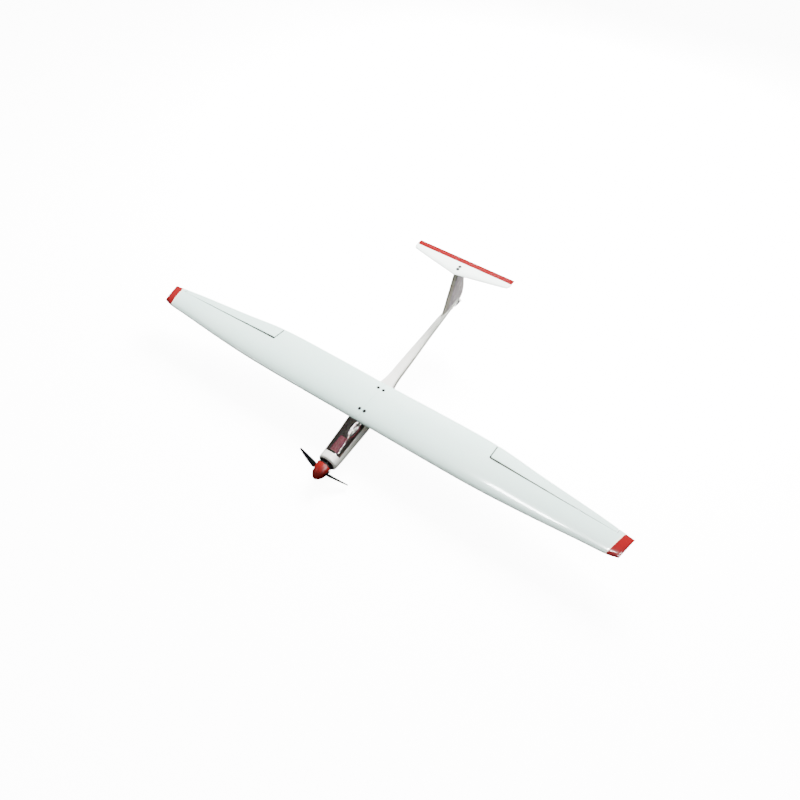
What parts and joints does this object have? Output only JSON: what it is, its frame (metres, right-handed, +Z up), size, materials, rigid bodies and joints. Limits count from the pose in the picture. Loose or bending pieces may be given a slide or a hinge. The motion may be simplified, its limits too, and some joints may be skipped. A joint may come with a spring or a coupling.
{
  "type": "radio control glider",
  "caption": "Electric radio-control glider with pod-and-boom fuselage, bolt-on tapered wing with ailerons, T-tail, clear canopy and folding propeller.",
  "frame": {"origin": "on the flat of the belly, under the wing, in the plane of symmetry", "axes": "+Z up, +X to the glider's left (port) wing tip, -Y towards the nose"},
  "size_m": [1.5, 0.75, 0.2239],
  "materials": {
    "white_film": "gloss",
    "red_film": "gloss",
    "white_gelcoat": "gloss",
    "clear_canopy": "gloss",
    "red_spinner": "gloss",
    "black_plastic": "satin",
    "grey_plastic": "satin",
    "pink_wrap": "gloss",
    "plywood": "matte",
    "steel": "satin",
    "dark_steel": "satin",
    "carbon": "satin",
    "red_wire": "satin"
  },
  "bodies": {
    "airframe": {"wing_panel_left": "white_film", "wing_tip_left": "red_film", "aileron_servo_left": "black_plastic", "wing_panel_right": "white_film", "wing_tip_right": "red_film", "aileron_servo_right": "black_plastic", "wing_joiner": "carbon", "wing_plate_front": "plywood", "wing_plate_rear": "plywood", "wing_bolt_1": "dark_steel", "wing_bolt_2": "dark_steel", "wing_bolt_3": "dark_steel", "wing_bolt_4": "dark_steel", "fuselage_shell": "white_gelcoat", "equipment_tray": "plywood", "battery_pack": "pink_wrap", "speed_controller": "grey_plastic", "receiver": "black_plastic", "battery_lead": "red_wire", "servo_tray": "plywood", "rudder_servo": "black_plastic", "rudder_cable_sheath": "black_plastic", "elevator_servo": "black_plastic", "elevator_cable_sheath": "black_plastic", "firewall": "plywood", "motor_can": "steel", "motor_screw_1": "dark_steel", "motor_screw_2": "dark_steel", "stabilizer": "white_film", "stab_screw_1": "dark_steel", "stab_screw_2": "dark_steel", "fin": "white_gelcoat"},
    "canopy": {"canopy": "clear_canopy"},
    "propeller": {"motor_shaft": "steel", "spinner_backplate": "black_plastic", "spinner_cone": "red_spinner", "prop_yoke": "black_plastic", "prop_nut": "steel", "blade_pin_1": "steel", "blade_pin_2": "steel"},
    "blade_1": {"prop_blade_1": "black_plastic"},
    "blade_2": {"prop_blade_2": "black_plastic"},
    "rudder": {"rudder": "white_gelcoat", "rudder_horn": "black_plastic"},
    "rudder_rod": {"rudder_pushrod": "steel"},
    "rudder_arm": {"rudder_servo_arm": "black_plastic"},
    "elevator": {"elevator": "red_film", "elevator_horn": "black_plastic"},
    "elevator_rod": {"elevator_pushrod": "steel"},
    "elevator_arm": {"elevator_servo_arm": "black_plastic"},
    "left_aileron": {"aileron_left": "white_film", "aileron_horn_left": "black_plastic"},
    "left_aileron_arm": {"aileron_servo_arm_left": "black_plastic"},
    "left_aileron_rod": {"aileron_pushrod_left": "steel"},
    "right_aileron": {"aileron_right": "white_film", "aileron_horn_right": "black_plastic"},
    "right_aileron_arm": {"aileron_servo_arm_right": "black_plastic"},
    "right_aileron_rod": {"aileron_pushrod_right": "steel"}
  },
  "joints": [
    {"name": "prop_spin", "type": "hinge", "parent": "airframe", "child": "propeller", "pos_m": [0, -0.202, 0.032], "axis": [0, -1, 0], "continuous": true},
    {"name": "blade_1_fold", "type": "hinge", "parent": "propeller", "child": "blade_1", "pos_m": [0.00861, -0.202, 0.02937], "axis": [0.2924, 0, 0.9563], "range_deg": [-10, 32]},
    {"name": "blade_2_fold", "type": "hinge", "parent": "propeller", "child": "blade_2", "pos_m": [-0.00861, -0.202, 0.03463], "axis": [-0.2924, 0, -0.9563], "range_deg": [-10, 32]},
    {"name": "canopy_lift", "type": "slide", "parent": "airframe", "child": "canopy", "axis": [0, 0, 1], "range_m": [0, 0.05]},
    {"name": "left_aileron_hinge", "type": "hinge", "parent": "airframe", "child": "left_aileron", "pos_m": [0.534, 0.0423, 0.09138], "axis": [0.9987, -0.0485, 0.0186], "range_deg": [-20, 20]},
    {"name": "left_aileron_servo_turn", "type": "hinge", "parent": "airframe", "child": "left_aileron_arm", "pos_m": [0.4164, 0.007, 0.08772], "axis": [1, 0, 0], "range_deg": [-23, 23]},
    {"name": "left_aileron_rod_swing", "type": "hinge", "parent": "left_aileron_arm", "child": "left_aileron_rod", "pos_m": [0.4164, 0.007, 0.07722], "axis": [1, 0, 0], "range_deg": [-23, 23]},
    {"name": "right_aileron_hinge", "type": "hinge", "parent": "airframe", "child": "right_aileron", "pos_m": [-0.534, 0.0423, 0.09138], "axis": [0.9987, 0.0485, -0.0186], "range_deg": [-20, 20]},
    {"name": "right_aileron_servo_turn", "type": "hinge", "parent": "airframe", "child": "right_aileron_arm", "pos_m": [-0.4164, 0.007, 0.08772], "axis": [1, 0, 0], "range_deg": [-23, 23]},
    {"name": "right_aileron_rod_swing", "type": "hinge", "parent": "right_aileron_arm", "child": "right_aileron_rod", "pos_m": [-0.4164, 0.007, 0.07722], "axis": [1, 0, 0], "range_deg": [-23, 23]},
    {"name": "rudder_hinge", "type": "hinge", "parent": "airframe", "child": "rudder", "pos_m": [0, 0.487, 0.12], "axis": [0, 0, 1], "range_deg": [-25, 25]},
    {"name": "rudder_rod_slide", "type": "slide", "parent": "airframe", "child": "rudder_rod", "axis": [0, 1, 0], "range_m": [-0.0043, 0.0043]},
    {"name": "rudder_servo_turn", "type": "hinge", "parent": "airframe", "child": "rudder_arm", "pos_m": [0.008, 0.014, 0.0616], "axis": [0, 0, 1], "range_deg": [-26.5, 26.5]},
    {"name": "elevator_hinge", "type": "hinge", "parent": "airframe", "child": "elevator", "pos_m": [0, 0.5, 0.2195], "axis": [1, 0, 0], "range_deg": [-20, 20]},
    {"name": "elevator_rod_slide", "type": "slide", "parent": "airframe", "child": "elevator_rod", "axis": [0, 1, 0], "range_m": [-0.0038, 0.0038]},
    {"name": "elevator_servo_turn", "type": "hinge", "parent": "airframe", "child": "elevator_arm", "pos_m": [-0.008, 0.014, 0.0616], "axis": [0, 0, 1], "range_deg": [-23.5, 23.5]}
  ],
  "couplings": [
    {"joint": "left_aileron_servo_turn", "follows": "left_aileron_hinge", "ratio": 1.1429},
    {"joint": "left_aileron_rod_swing", "follows": "left_aileron_hinge", "ratio": -1.1429},
    {"joint": "right_aileron_servo_turn", "follows": "right_aileron_hinge", "ratio": 1.1429},
    {"joint": "right_aileron_rod_swing", "follows": "right_aileron_hinge", "ratio": -1.1429},
    {"joint": "rudder_rod_slide", "follows": "rudder_hinge", "m_per_rad": 0.0095},
    {"joint": "rudder_servo_turn", "follows": "rudder_hinge", "ratio": 1.0556},
    {"joint": "elevator_rod_slide", "follows": "elevator_hinge", "m_per_rad": 0.0105},
    {"joint": "elevator_servo_turn", "follows": "elevator_hinge", "ratio": -1.1667}
  ]
}
